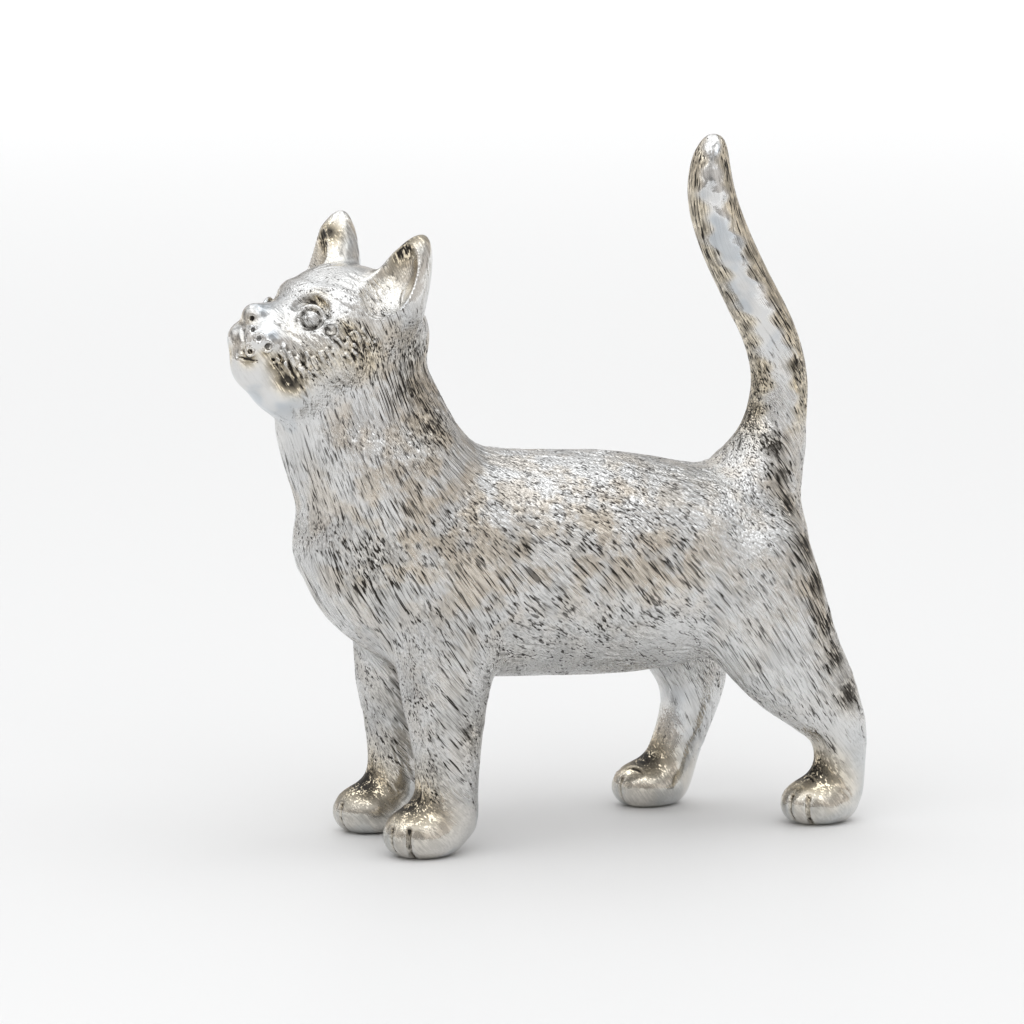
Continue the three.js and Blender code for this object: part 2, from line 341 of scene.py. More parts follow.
# An ear's width at its root, and what it loses with each millimetre up or down.
EAR_TAPER = (0.95, 0.035, 0.12)
EAR_LEAST = 0.4
HEAD_BLEND = 1.5
EAR_BLEND = 1.1
SUNK = 0.6  # how far the casting's own head is sunk under the modelled one
CROWN = 1.2  # above this, all outside the skull is cleared away, the casting's own ears too
EAR_HOLLOW = ((2.6, 0.1, 2.4), (2.1, 2.6, 4.0))
# Whisker pits: the middle, the hole's radius, and its raised rim's.
PITS = (
    ((10.9, 1.6, -4.2), 0.15, 0.3),
    ((10.5, 2.2, -4.8), 0.19, 0.42),
    ((9.9, 2.8, -5.25), 0.22, 0.46),
    ((10.4, 1.5, -6.0), 0.16, 0.36),
    ((9.2, 3.0, -6.2), 0.13, 0.3),
)
PIT_RIM = 0.14
MUZZLE_LOOK = (0.75, 0.65, -0.1)
MOUTH = ((10.5, 0.0, -6.6), (10.2, 1.2, -6.7), (9.9, 2.0, -6.65))
MOUTH_RADIUS = 0.08
PAD_GROOVE = ((10.7, 0.15, -4.35), (10.3, 0.3, -5.2), (10.15, 0.35, -6.0))
PAD_GROOVE_RADIUS = 0.18
NOSTRIL = (10.4, 0.62, -3.2)
NOSTRIL_LOOK = (0.9, 0.35, -0.1)
NOSTRIL_RADIUS = 0.24
RUFF = (
    (8.4, 3.0, -6.0),
    (6.8, 3.4, -6.4),
    (5.3, 4.3, -5.2),
    (4.0, 5.2, -3.4),
    (2.4, 5.6, -2.6),
    (0.6, 5.8, -2.0),
)
RUFF_TUFTS = 34  # in each row
RUFF_ROWS = (-0.5, 0.2, 0.9)  # the rows' heights over the cheek's edge
RUFF_LOOK = (0.5, 0.85, -0.25)
RUFF_SEED = 3


def mirrored(at, side):
    return np.array((at[0], at[1] * side, at[2]))


def face_masses(place):
    field = egg(place, *SKULL)
    field = smin(field, egg(place, *JAW), 0.8)
    for side in (-1, 1):
        field = smin(field, egg(place, mirrored(CHEEK[0], side), CHEEK[1]), 0.7)
        field = smin(field, egg(place, mirrored(BROW[0], side), BROW[1]), 0.7)
    field = smin(field, egg(place, *MUZZLE), 0.8)
    field = smin(field, egg(place, *CHIN), 0.8)
    field = smin(field, egg(place, *LIPS), 0.8)
    field = smin(field, egg(place, *BRIDGE), 0.6)
    for side in (-1, 1):
        field = smin(field, egg(place, mirrored(PAD[0], side), PAD[1]), 0.7)
    return smin(field, egg(place, *NOSE), 0.5)


def ear_place(place, side):
    """The voxels' places in an ear's frame: Z up to its tip, X out of its opening."""
    turn = Matrix.Rotation(-math.radians(EAR["splay"]) * side, 3, "X")
    turn = turn @ Matrix.Rotation(math.radians(EAR_LEAN[side]), 3, "Y")
    turn = np.array(turn @ Matrix.Rotation(math.radians(EAR["turn"]) * side, 3, "Z"))
    at = mirrored(EAR["at"], side)
    d = [place[i] - at[i] for i in range(3)]
    return [d[0] * turn[0, i] + d[1] * turn[1, i] + d[2] * turn[2, i] for i in range(3)]


def face_region(at, reach):
    """The block of the field about a point of the head's frame, and its voxels' places in that frame."""
    middle = HEAD_AT + HEAD_TURN @ np.array(at, float)
    region = Region(middle - reach, middle + reach)
    return region, region.local(HEAD_AT, HEAD_TURN)


def on_face(at, look):
    """Where a line looking in at a point of the head's frame meets the skin, in that frame."""
    start = HEAD_AT + HEAD_TURN @ np.array(at, float)
    point = first_skin(start, HEAD_TURN @ np.array(look, float))
    return (point - HEAD_AT) @ HEAD_TURN


def shape_head():
    region = Region(HEAD_LOW + (-1, -1.5, 0), HEAD_HIGH + 1.5)
    place = region.local(HEAD_AT, HEAD_TURN)
    skull = egg(place, *SKULL)
    region.values += SUNK * smoothstep(*NECK_FROM, place[0]) * smoothstep(*THROAT_FROM, place[2])
    region.cut(smax(CROWN - place[2], -skull, 0.5), 0.4)
    region.add(face_masses(place), HEAD_BLEND)
    for side in (-1, 1):
        local = ear_place(place, side)
        lost = np.maximum(EAR_TAPER[1] * local[2], -EAR_TAPER[2] * local[2])
        width = np.maximum(EAR_TAPER[0] - lost, EAR_LEAST)
        leaf = (local[0] / width, local[1] / width, local[2])
        region.add(egg(leaf, (EAR_FORWARD[side], 0, 0), EAR_SIZES[side]) * width, EAR_BLEND)
        hollow = egg((local[0], local[1] / width, local[2]), *EAR_HOLLOW)
        region.cut(smax(hollow, 0.1 - skull, 1.2), 0.25)
    for side in (-1, 1):
        cut_eye(side)
        cut_muzzle(side)
        raise_ruff(side)


def eye_frame(side):
    """The eye's middle on the skin, the way it looks, and the way along the face to the nose."""
    look = mirrored(EYE_LOOK, side)
    look = look / np.linalg.norm(look)
    eye = on_face(mirrored(EYE, side), look)
    inwards = np.array([abs(look[1]), -look[0] * side, 0])
    return eye, look, inwards / np.linalg.norm(inwards)


def cut_eye(side):
    """The lid's wide fold, the eyeball in its socket, the ring of its lids, and the tear behind it."""
    eye, look, inwards = eye_frame(side)
    up = np.array([0, 0, 1.0])
    fold = [on_face(eye + inwards * s + up * z, look) - look * 0.05 for s, z in LID_FOLD]
    tear = on_face(eye + inwards * TEAR[0] + up * TEAR[1], look)
    region, place = face_region(eye, 4.5)
    region.cut(chain(place, fold, LID_FOLD_RADIUS), 0.4)
    region.cut(ball(place, eye + look * 0.15, SOCKET), 0.3)
    region.add(ball(place, eye - look * 0.7, EYEBALL), 0.08)
    region.add(ring(place, eye - look * 0.35, look, *LIDS), 0.2)
    region.cut(ball(place, tear + look * 0.25, TEAR_RADIUS), 0.15)
    region.add(ring(place, tear - look * 0.05, look, TEAR_RADIUS, 0.1), 0.1)


def raise_ruff(side):
    """Rows of tufts along the cheek's lower edge, pointing down and back."""
    random = np.random.default_rng(RUFF_SEED)
    look = mirrored(RUFF_LOOK, side)
    for row in RUFF_ROWS:
        for step in random.uniform(0, len(RUFF) - 1.001, RUFF_TUFTS):
            k, part = int(step), step % 1
            root = np.array(RUFF[k]) * (1 - part) + np.array(RUFF[k + 1]) * part + (0, 0, row)
            root += random.uniform(-0.3, 0.3, 3)
            away = np.array([-0.55 - 0.1 * step, 0.15, -0.8 + 0.05 * step])
            away += random.uniform(-0.25, 0.25, 3)
            length = random.uniform(0.8, 1.7)
            thick = random.uniform(0.13, 0.26)
            first, last = (on_face(mirrored(p, side), look) for p in (root, root + away * length))
            region, place = face_region((first + last) / 2, 1.5)
            region.add(rod(place, first, last - look * 0.08, thick, thick * 0.8), 0.1)


def cut_muzzle(side):
    """Nostril, whisker pits in their raised rings, mouth, and the groove between the pads."""
    front = mirrored(MUZZLE_LOOK, side)
    region, place = face_region((9.5, 1.5 * side, -5), 4.5)
    nostril = on_face(mirrored(NOSTRIL, side), mirrored(NOSTRIL_LOOK, side))
    region.cut(ball(place, nostril, NOSTRIL_RADIUS), 0.12)
    mouth = [on_face(mirrored(p, side), front) for p in MOUTH]
    region.cut(chain(place, mouth, MOUTH_RADIUS), 0.1)
    groove = [on_face(mirrored(p, side), front) for p in PAD_GROOVE]
    region.cut(chain(place, groove, PAD_GROOVE_RADIUS), 0.25)
    for at, hole, rim in PITS:
        pit = on_face(mirrored(at, side), front)
        region.add(ring(place, pit, front, rim, PIT_RIM), 0.12)
        region.cut(ball(place, pit, hole), 0.08)


# ---- Paws ----------------------------------------------------------------------------------------------
PAW_HIGH = 2.5
PAW_MIDDLE = 4.2  # behind its front
TOES_TOP = 5.0
TOE_TURNS = (-42, -15, 14)  # of the slits between the toes, about each paw's middle, from straight ahead
SLIT_HEIGHTS = (0.1, 0.9, 1.7, 2.3, 2.8)
SLIT_RADIUS = 0.2


def paw_box(node):
    """The corners of a leg's paw, which is its lowest part."""
    points = triangles_of(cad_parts[node])[0]
    paw = points[points[:, 2] < PAW_HIGH]
    return paw.min(axis=0), paw.max(axis=0)


def shape_paw(node):
    """Slits between the toes, cut in from the front of the paw."""
    low, high = paw_box(node)
    middle = np.array([low[0] + PAW_MIDDLE, (low[1] + high[1]) / 2, 0])
    region = Region(low - 1.5, np.array([middle[0], high[1] + 1.5, TOES_TOP]))
    place = region.local(np.zeros(3))
    side = -1 if middle[1] < 0 else 1
    for turn in TOE_TURNS:
        angle = math.radians(180 + turn * side)
        out = np.array([math.cos(angle), math.sin(angle), 0])
        slit = [first_skin(middle + (0, 0, z), out) for z in SLIT_HEIGHTS]
        region.cut(chain(place, slit, SLIT_RADIUS), SLIT_RADIUS)


# ---- The skin as one mesh ------------------------------------------------------------------------------
def tally(index, values, count):
    """Sums of rows of values over the points they belong to."""
    return np.stack([np.bincount(index, values[:, i], count) for i in range(3)], axis=1)


def normals_of(points, quads):
    a, b, c, d = (points[quads[:, i]] for i in range(4))
    faces = np.cross(c - a, d - b)
    total = tally(quads.ravel(), np.repeat(faces, 4, axis=0), len(points))
    return total / (np.linalg.norm(total, axis=1, keepdims=True) + 1e-12)


def relaxed(points, quads, rounds):
    """The points drawn towards the middle of their neighbours."""
    first = quads.ravel()
    second = np.roll(quads, -1, axis=1).ravel()
    ends = np.concatenate([first, second])
    others = np.concatenate([second, first])
    count = np.bincount(ends, minlength=len(points))[:, None]
    for _ in range(rounds):
        points = 0.5 * points + 0.5 * tally(ends, points[others], len(points)) / count
    return points


# ---- Fur -----------------------------------------------------------------------------------------------
FUR_SEED = 5
CLUMPS = 12000  # tried, of which the thinner fur keeps fewer
# A clump's half length, width and depth: the least, and how much more the most has.
CLUMP_HALF = (0.6, 0.7)
CLUMP_WIDTH = (0.12, 0.1)
CLUMP_DEPTH = (0.03, 0.05)
# x and z on the cat's side, the fur's slope there in degrees below the level towards the tail, and how
# thickly it is engraved.
FLOW = (
    (-28.5, 47.2, 40, 0.0),
    (-21.3, 51.1, 20, 0.3),
    (-22.0, 44.5, 50, 0.3),
    (-17.0, 45.0, 52, 0.9),
    (-16.5, 53.0, 75, 0.1),
    (-12.4, 42.7, 70, 1.0),
    (-10.0, 38.6, 58, 1.0),
    (-12.8, 50.0, 78, 0.1),
    (-26.0, 41.1, 62, 0.0),
    (-24.3, 37.4, 82, 0.2),
    (-18.8, 38.1, 62, 0.8),
    (-22.0, 32.0, 68, 0.7),
    (-25.5, 31.0, 86, 0.4),
    (-15.5, 30.0, 60, 1.0),
    (-24.2, 25.9, 84, 0.4),
    (-21.8, 20.6, 66, 0.45),
    (-17.3, 26.6, 60, 1.0),
    (-13.6, 19.2, 58, 0.5),
    (-13.6, 9.0, 62, 0.5),
    (-13.6, 2.0, 50, 0.0),
    (-9.4, 30.5, 55, 1.0),
    (-8.0, 24.0, 50, 0.85),
    (-6.0, 35.2, 6, 0.6),
    (3.0, 34.6, 3, 0.5),
    (12.6, 34.0, 3, 0.5),
    (3.0, 30.6, 28, 1.0),
    (3.0, 25.8, 45, 0.9),
    (3.2, 20.0, 52, 0.55),
    (3.2, 16.6, 12, 0.35),
    (-4.0, 16.6, 20, 0.3),
    (9.5, 16.8, 20, 0.3),
    (8.0, 25.0, 45, 0.9),
    (16.4, 24.6, 46, 0.6),
    (18.0, 20.0, 48, 0.5),
    (19.1, 13.7, 50, 0.5),
    (21.0, 8.0, 58, 0.35),
    (24.0, 2.0, 50, 0.0),
    (14.0, 2.0, 50, 0.0),
    (15.0, 8.0, 70, 0.2),
    (23.6, 22.0, 78, 0.8),
    (19.5, 33.0, 74, 0.7),
    (20.0, 38.0, 80, 0.3),
    (17.0, 46.0, 72, 0.0),
    (14.6, 56.0, 96, 0.1),
)
MAP_STEP = 0.5
FLOW_SOFT = 1.5  # square millimetres round each place of the fur's flow, over which it rules alone
FLOW_FALL = -1.7  # how fast it gives way to the others further off


def potential(way_x, way_z):
    """The function over the map whose slope is closest to the given one everywhere."""
    gx = 0.5 * MAP_STEP * (way_x[1:] + way_x[:-1])
    gz = 0.5 * MAP_STEP * (way_z[:, 1:] + way_z[:, :-1])
    source = -np.diff(np.pad(gx, ((1, 1), (0, 0))), axis=0)
    source -= np.diff(np.pad(gz, ((0, 0), (1, 1))), axis=1)
    twice = np.concatenate([source, source[::-1]], axis=0)
    twice = np.concatenate([twice, twice[:, ::-1]], axis=1)
    stiff = [2 - 2 * np.cos(2 * np.pi * np.arange(n) / n) for n in twice.shape]
    stiff = stiff[0][:, None] + stiff[1][None, :]
    stiff[0, 0] = 1
    spectrum = np.fft.fft2(twice) / stiff
    spectrum[0, 0] = 0
    return np.fft.ifft2(spectrum).real[: source.shape[0], : source.shape[1]]


def comb(points):
    """For each point: the way the fur lies, how thick it is, and coordinates along and across it."""
    low = points.min(axis=0) - 2
    high = points.max(axis=0) + 2
    x, z = (np.arange(low[i], high[i], MAP_STEP) for i in (0, 2))
    away = np.array([(x[:, None] - f[0]) ** 2 + (z[None, :] - f[1]) ** 2 for f in FLOW])
    shares = (away + FLOW_SOFT) ** FLOW_FALL
    shares /= shares.sum(axis=0)
    slopes = np.radians([f[2] for f in FLOW])
    down = np.tensordot(np.sin(slopes), shares, 1)
    along = np.tensordot(np.cos(slopes), shares, 1)
    size = np.hypot(down, along)
    down /= size
    along /= size
    thick = np.tensordot([f[3] for f in FLOW], shares, 1)
    maps = np.stack([along, down, thick, potential(along, -down), potential(down, along)], axis=-1)
    cell = (points[:, [0, 2]] - low[[0, 2]]) / MAP_STEP
    whole = cell.astype(int)
    part = (cell - whole)[:, :, None]
    i, k = whole.T
    fx, fz = part[:, 0], part[:, 1]
    at = (maps[i, k] * (1 - fx) + maps[i + 1, k] * fx) * (1 - fz)
    at += (maps[i, k + 1] * (1 - fx) + maps[i + 1, k + 1] * fx) * fz
    way = np.stack([at[:, 0], np.zeros(len(points)), -at[:, 1]], axis=1)
    return way, at[:, 2], np.stack([at[:, 3], at[:, 4], points[:, 1]], axis=1)


def past(joint, points):
    """How far points lie beyond a joint's plane."""
    return (points - joint[0]) @ joint[1] / np.linalg.norm(joint[1])


def raise_clumps(points, normals, ways, thick):
    """The height of the fur's clumps over the smooth skin: each is a groove with a raised edge."""
    tree = KDTree(len(points))
    for i, point in enumerate(points.tolist()):
        tree.insert(point, i)
    tree.balance()
    random = np.random.default_rng(FUR_SEED)
    relief = np.zeros(len(points), np.float32)
    for centre in random.integers(0, len(points), CLUMPS):
        at, normal = points[centre], normals[centre]
        chance, turn, size, bend, deep, wide = random.random(6)
        if chance > thick[centre] ** 1.5:
            continue
        way = ways[centre] - normal * ways[centre].dot(normal)
        way = way / (np.linalg.norm(way) + 1e-6)
        across = np.cross(normal, way)
        angle = (turn - 0.5) * 0.3
        way = way * math.cos(angle) + across * math.sin(angle)
        across = np.cross(normal, way)
        half = CLUMP_HALF[0] + CLUMP_HALF[1] * size
        width = CLUMP_WIDTH[0] + CLUMP_WIDTH[1] * wide
        depth = CLUMP_DEPTH[0] + CLUMP_DEPTH[1] * deep
        near = np.array([hit[1] for hit in tree.find_range(at.tolist(), half + width)])
        away = points[near] - at
        along = away @ way / half
        side = away @ across - (bend - 0.5) * half * 0.5 * along ** 2
        taper = np.sqrt(np.clip(1 - along ** 2, 0, 1)) * (normals[near] @ normal > 0.3)
        groove = taper * np.exp(-((side / width) ** 2))
        ridge = taper * np.exp(-(((side - 1.7 * width) / width) ** 2))
        cover = np.clip(groove + ridge, 0, 1)
        relief[near] = relief[near] * (1 - cover) + depth * (0.7 * ridge - groove)
    return relief


# Dark marks on the body, partly real tarnish and partly painted shade: x and z on the cat's side, how far
# round, and how strongly.
BODY_STAINS_SHADE = (
    (-15.0, 28.0, 5.0, 0.2),
    (-17.3, 26.6, 2.2, 0.5),
    (-17.5, 23.5, 1.4, 0.4),
    (-11.6, 37.4, 1.8, 1.2),
    (-13.6, 41.0, 1.9, 1.1),
    (-12.8, 44.2, 1.6, 0.9),
    (-7.0, 26.0, 4.5, 0.15),
    (-4.0, 27.4, 1.0, 0.5),
    (0.4, 26.4, 1.3, 0.4),
    (5.0, 27.5, 5.0, 0.15),
    (-9.0, 10.9, 1.6, 0.85),
    # painted shade: the crease between the foreleg and the belly
    (-4.4, 16.8, 2.0, 0.45),
    # painted shade: the forelegs' shaded inner side
    (-12.4, 8.2, 1.2, 0.45),
    (-11.5, 14.0, 4.0, 0.15),
    (3.0, 19.5, 6.0, 0.12),
    (16.8, 34.0, 2.6, 0.3),
    (18.6, 35.8, 1.8, 0.9),
    (23.2, 41.0, 1.0, 0.9),
    (21.2, 33.9, 1.1, 1.3),
    (21.7, 31.3, 1.1, 1.4),
    (22.1, 28.6, 1.2, 1.5),
    (22.8, 25.4, 1.4, 1.5),
    (23.7, 22.0, 1.4, 1.5),
    (24.5, 18.5, 1.4, 1.4),
    (25.2, 15.3, 1.2, 1.5),
    (26.6, 11.9, 1.5, 1.5),
)
# Dark marks on the head, by places in its own frame, how far round and how strongly, on both sides alike;
# partly real tarnish, partly painted shade at the mouth and under the pads, all with the painted golden
# reflection.
HEAD_MARKS_SHADE_SHEEN = (
    ((4.0, 5.0, -2.2), 0.8, 1.4),
    ((3.3, 5.0, -3.9), 1.0, 1.6),
    ((8.6, 3.0, -6.5), 0.8, 1.5),
    ((7.3, 3.2, -7.6), 1.0, 1.5),
    ((6.2, 3.4, -7.7), 1.1, 0.9),
    ((5.2, 4.2, -5.0), 1.8, 0.6),
    ((2.4, 5.4, -2.8), 1.8, 0.6),
    ((0.6, 5.6, -4.0), 1.3, 0.5),
    ((6.0, 2.8, -0.3), 0.9, 0.9),
    ((10.2, 1.2, -6.6), 0.7, 1.4),
    ((9.6, 2.5, -5.9), 0.45, 0.9),
    ((10.4, 0.2, -5.4), 0.5, 0.7),
    ((0.6, 4.8, 4.0), 2.0, 0.5),
    ((10.4, 0.5, -3.3), 0.6, 0.7),
    ((7.4, 2.2, -3.4), 1.0, 0.25),
    ((0.4, 4.6, 6.4), 0.9, 1.2),
    ((-1.2, 5.2, 7.4), 1.0, 1.3),
    ((0.9, 5.2, 6.0), 1.4, 1.5),
)
# A dark mark on each paw's top, with the painted golden reflection: its place, then its reach and
# strength.
PAW_MARK_SHEEN_AT = (3.2, 3.9)  # behind the paw's front, and up
PAW_MARK_SHEEN = (2.8, 1.7)
# How strongly the tail's edges are darkened and given the painted golden reflection.
TAIL_EDGE_MARK_SHEEN = 0.75
BODY_STAIN_SHEEN = 0.25  # how much of the painted golden reflection the body's own marks have
MARK_HOLLOW_GAIN = (0.65, 8)  # a mark's share on smooth skin, and what each millimetre of hollow adds: the marks darken more in hollows
PATINA_SHADE_FROM = (0.01, 0.06)  # how hollow the skin is where the darkening starts and where it is full: patina in the engraving, painted shade in the hollows
PATINA_SHADE_MOST = 0.7
# Painted shade on the lower body and forelegs, and a darkening of the face's front.
LOW_BODY_SHADE = 0.13
FACE_DARKENING = 0.07


def marks_shade_and_sheen(points, normals):
    """How dark each point is marked, partly with real tarnish and partly with painted shade, and how much
    of that takes the painted warm reflection.
    """
    dark = np.zeros(len(points))
    for x, z, reach, strength in BODY_STAINS_SHADE:
        away = (points[:, 0] - x) ** 2 + (points[:, 2] - z) ** 2
        dark += strength * np.exp(-away / reach ** 2)
    sheen_marks = TAIL_EDGE_MARK_SHEEN * tail_edges(points, normals)
    head = (points - HEAD_AT) @ HEAD_TURN
    head[:, 1] = np.abs(head[:, 1])
    for at, reach, strength in HEAD_MARKS_SHADE_SHEEN:
        sheen_marks += strength * np.exp(-np.sum((head - at) ** 2, axis=1) / reach ** 2)
    for name in LEGS:
        low, high = paw_box(name)
        top = np.array([low[0] + PAW_MARK_SHEEN_AT[0], (low[1] + high[1]) / 2, PAW_MARK_SHEEN_AT[1]])
        sheen_marks += PAW_MARK_SHEEN[1] * np.exp(-np.sum((points - top) ** 2, axis=1) / PAW_MARK_SHEEN[0] ** 2)
    return dark + sheen_marks, sheen_marks + BODY_STAIN_SHEEN * dark


def low_shade_face_darkening(points):
    """Painted shade darkens the belly and the forelegs a little, and the front of the face is darkened a
    little less.
    """
    head = (points - HEAD_AT) @ HEAD_TURN
    face = smoothstep(0, 4, head[:, 0]) * smoothstep(-7, -4, head[:, 2])
    low = (1 - smoothstep(16, 28, points[:, 2])) * (1 - smoothstep(6, 14, points[:, 0]))
    return LOW_BODY_SHADE * low + FACE_DARKENING * face


def tail_edges(points, normals):
    """The tail's front and back edges, away from its smooth flanks."""
    tail = smoothstep(34, 37, points[:, 2]) * smoothstep(TAIL_FROM - 2, TAIL_FROM, points[:, 0])
    edge = np.maximum(-normals[:, 0], normals[:, 0] + 0.45)
    edge += 0.12 * np.sin(points[:, 2] * 1.3) + 0.1 * np.sin(points[:, 2] * 3.1)
    return tail * smoothstep(0.45, 0.85, edge)


# ---- Pieces --------------------------------------------------------------------------------------------
DOWN = np.array([0, 0, -1.0])
LEFT = np.array([0, 1.0, 0])
PLANE_WELD = 1e-6  # metres: nearer than this to a cut, a point is on it


def mesh_part(keep):
    """The faces with a kept corner, as an editable mesh in metres."""
    quads = skin_quads[keep[skin_quads].any(axis=1)]
    used, index = np.unique(quads, return_inverse=True)
    mesh = bpy.data.meshes.new("part")
    mesh.vertices.add(len(used))
    mesh.vertices.foreach_set("co", (skin_points[used] * MM).astype(np.float32).ravel())
    mesh.loops.add(quads.size)
    mesh.loops.foreach_set("vertex_index", index.ravel().astype(np.int32))
    mesh.polygons.add(len(quads))
    mesh.polygons.foreach_set("loop_start", np.arange(0, quads.size, 4, dtype=np.int32))
    mesh.update(calc_edges=True)
    for name, values in skin_finish.items():
        kind, field = ("FLOAT", "value") if values.ndim == 1 else ("FLOAT_VECTOR", "vector")
        layer = mesh.attributes.new(name, kind, "POINT")
        layer.data.foreach_set(field, values[used].astype(np.float32).ravel())
    bm = bmesh.new()
    bm.from_mesh(mesh)
    bpy.data.meshes.remove(mesh)
    return bm


def cut_back(bm, at, normal, from_x=None):
    """Takes away what lies beyond a plane, and fills the cut. With from_x, only behind that.

    The fill doesn't take on every rim.  The head, the tail, the left hind leg and the two shells stay open
    where they meet, out of sight while the figure is whole.
    """
    at = Vector(at) * MM
    normal = Vector(normal).normalized()
    verts = [v for v in bm.verts if from_x is None or v.co.x > from_x * MM]
    faces = [f for f in bm.faces if from_x is None or all(v.co.x > from_x * MM for v in f.verts)]
    edges = list({e for f in faces for e in f.edges})
    cut = bmesh.ops.bisect_plane(bm, geom=verts + edges + faces, dist=1e-7, plane_co=at, plane_no=normal)
    on = [e for e in cut["geom_cut"] if isinstance(e, bmesh.types.BMEdge)]
    beyond = [v for v in bm.verts if (v.co - at).dot(normal) > PLANE_WELD]
    gone = [v for v in beyond if from_x is None or v.co.x > from_x * MM]
    bmesh.ops.delete(bm, geom=gone, context="VERTS")
    rim = [e for e in on if e.is_valid and e.is_boundary]
    filled = bmesh.ops.triangle_fill(bm, edges=rim, use_beauty=False, use_dissolve=False)
    for edge in rim:
        edge.smooth = False
    for item in filled["geom"]:
        if isinstance(item, bmesh.types.BMFace):
            item.tag = True


def make_piece(node, bm, material):
    for face in bm.faces:
        face.smooth = not face.tag
    bmesh.ops.recalc_face_normals(bm, faces=bm.faces)
    mesh = bpy.data.meshes.new(node + "_skin")
    bm.to_mesh(mesh)
    bm.free()
    mesh.materials.append(material)
    piece = bpy.data.objects.new(node + "_skin", mesh)
    bpy.context.scene.collection.objects.link(piece)
    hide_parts(node)
    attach(piece, "root")


def make_pieces(material):
    points = skin_points
    split = np.array([0, SPLIT_Y, 0])
    knee = np.array([0, 0, LEG_JOINT_Z])
    behind = points[:, 0] > TAIL_FROM
    tail = behind & (past(TAIL_JOINT, points) > 0)
    head = (points[:, 0] < REAR_X) & (past(NECK_JOINT, points) > 0)
    leg = points[:, 2] < LEG_JOINT_Z
    bm = mesh_part(head)
    cut_back(bm, NECK_JOINT[0], -NECK_JOINT[1])
    make_piece("head", bm, material)
    bm = mesh_part(tail)
    cut_back(bm, TAIL_JOINT[0], -TAIL_JOINT[1])
    make_piece("tail", bm, material)
    for node in LEGS:
        low, high = box_mm(node)
        middle = (low + high) / 2
        fore = (points[:, 0] < 0) == (middle[0] < 0)
        near = (points[:, 1] < SPLIT_Y) == (middle[1] < SPLIT_Y)
        bm = mesh_part(leg & fore & near)
        cut_back(bm, knee, -DOWN)
        make_piece(node, bm, material)
    body = ~(tail | head | leg)
    for node, way in (("body_shell_left", LEFT), ("body_shell_right", -LEFT)):
        bm = mesh_part(body & ((points[:, 1] - SPLIT_Y) * way[1] < 0.5))
        cut_back(bm, knee, DOWN)
        cut_back(bm, NECK_JOINT[0], NECK_JOINT[1])
        cut_back(bm, TAIL_JOINT[0], TAIL_JOINT[1], TAIL_FROM)
        cut_back(bm, split, way)
        make_piece(node, bm, material)


# ---- Material ------------------------------------------------------------------------------------------
PLATING = (0.71, 0.71, 0.705, 1)
WARM = (0.62, 0.555, 0.47, 1)
COOL = (0.52, 0.56, 0.60, 1)
# Painted warm reflection on the cheeks, paw tops and tail edges.
PAINTED_WARM_SHEEN = (0.90, 0.79, 0.60, 1)
# The dark of the engraving's patina, of the marks, and of the painted shade.
PATINA_AND_SHADE_DARK = (0.04, 0.036, 0.032, 1)
HAIRS = 6.4  # engraved hairs to a millimetre, across the fur
HAIR_STRETCH = (0.055, 1, 1)
# The scales of the other noises, to a metre.
PATCHES = 260.0
SPECKLES = 1100.0
WARM_PATCHES = 400.0
COOL_PATCHES = 230.0
WAVES = 480.0
GRAIN = 2200.0
# The heights of the relief, in metres.
HAIR_RELIEF = 0.00012
WAVE_RELIEF = 0.00022
GRAIN_RELIEF = 0.00002


class Nodes:
    """Short calls for building a material's node tree."""

    def __init__(self, tree):
        self.tree = tree

    def feed(self, node, inputs):
        for key, value in inputs.items():
            socket = node.inputs[key]
            if isinstance(value, bpy.types.NodeSocket):
                self.tree.links.new(value, socket)
            else:
                socket.default_value = value
        return node

    def math(self, operation, *values, clamp=False):
        node = self.tree.nodes.new("ShaderNodeMath")
        node.operation = operation
        node.use_clamp = clamp
        return self.feed(node, dict(enumerate(values))).outputs[0]

    def noise(self, vector, scale, detail=2.0, roughness=0.5):
        node = self.tree.nodes.new("ShaderNodeTexNoise")
        inputs = {"Vector": vector, "Scale": scale, "Detail": detail, "Roughness": roughness}
        return self.feed(node, inputs).outputs["Fac"]

    def ramp(self, value, low, high, start=0.0, end=1.0):
        node = self.tree.nodes.new("ShaderNodeMapRange")
        node.interpolation_type = "SMOOTHSTEP"
        inputs = {"Value": value, "From Min": low, "From Max": high, "To Min": start, "To Max": end}
        return self.feed(node, inputs).outputs["Result"]

    def mix(self, share, a, b):
        node = self.tree.nodes.new("ShaderNodeMix")
        node.data_type = "RGBA"
        self.feed(node, {0: share, 6: a, 7: b})
        return node.outputs[2]

    def attribute(self, name, output):
        node = self.tree.nodes.new("ShaderNodeAttribute")
        node.attribute_name = name
        return node.outputs[output]

    def scaled(self, vector, factors):
        node = self.tree.nodes.new("ShaderNodeVectorMath")
        node.operation = "MULTIPLY"
        self.feed(node, {0: vector, 1: factors})
        return node.outputs[0]

    def bump(self, height, distance, strength=1.0, normal=None):
        node = self.tree.nodes.new("ShaderNodeBump")
        self.feed(node, {"Height": height, "Distance": distance, "Strength": strength})
        if normal:
            self.feed(node, {"Normal": normal})
        return node.outputs[0]


